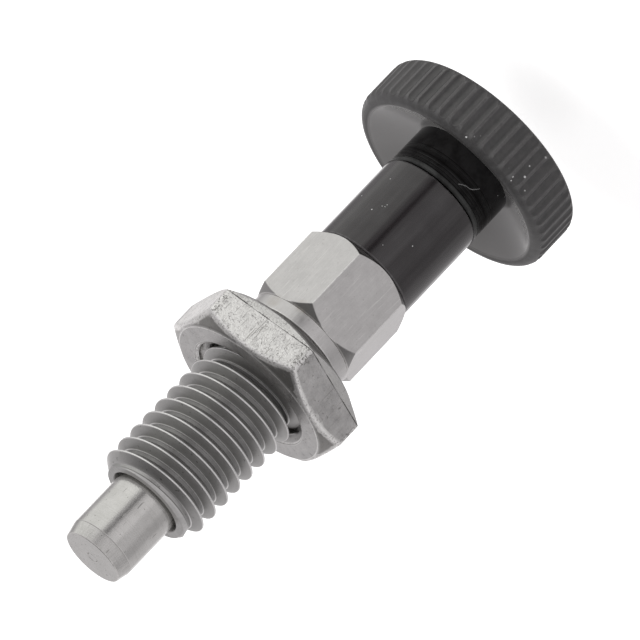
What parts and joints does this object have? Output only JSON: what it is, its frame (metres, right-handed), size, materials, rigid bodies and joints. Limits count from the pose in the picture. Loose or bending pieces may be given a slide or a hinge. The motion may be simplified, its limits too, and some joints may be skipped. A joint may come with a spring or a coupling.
{
  "type": "indexing plunger",
  "caption": "Sprung indexing plunger with a threaded hexagon body, thin lock nut, cylindrical pin, dark sleeve and fluted pull knob.",
  "frame": {"origin": "centre of the knob's flat end, on which the plunger stands", "axes": "+Z along the plunger's axis from the knob to the tip of the pin; +X through a corner of the body's hexagon"},
  "size_m": [0.016, 0.016, 0.0406],
  "materials": {
    "knob_plastic": "fine matt moulded dark grey",
    "bush_black": "turned and blackened, glossy",
    "sleeve_black": "satin black",
    "body_steel": "turned and milled stainless steel",
    "bush_steel": "turned stainless steel",
    "pin_steel": "ground stainless steel",
    "spring_steel": "drawn stainless wire",
    "nut_steel": "tumbled stainless steel with worn, pitted flats"
  },
  "bodies": {
    "guide": {"guide_body": "body_steel", "retaining_bush": "bush_steel", "sleeve": "sleeve_black"},
    "spring_carrier": {"spring": "spring_steel"},
    "plunger": {"plunger_pin": "pin_steel", "knob_bush": "bush_black", "knob": "knob_plastic"},
    "lock_nut": {"lock_nut": "nut_steel"}
  },
  "joints": [
    {"name": "plunger_pull", "type": "slide", "parent": "guide", "child": "spring_carrier", "axis": [0, 0, -1], "range_m": [0, 0.0055], "stiffness_N_per_m": 1000, "springref_m": -0.005, "deforming": ["spring"]},
    {"name": "plunger_turn", "type": "hinge", "parent": "spring_carrier", "child": "plunger", "pos_m": [0, 0, 0.02], "axis": [0, 0, 1], "continuous": true},
    {"name": "lock_nut_travel", "type": "slide", "parent": "guide", "child": "lock_nut", "axis": [0, 0, 1], "range_m": [-0.0008, 0.0099]}
  ]
}
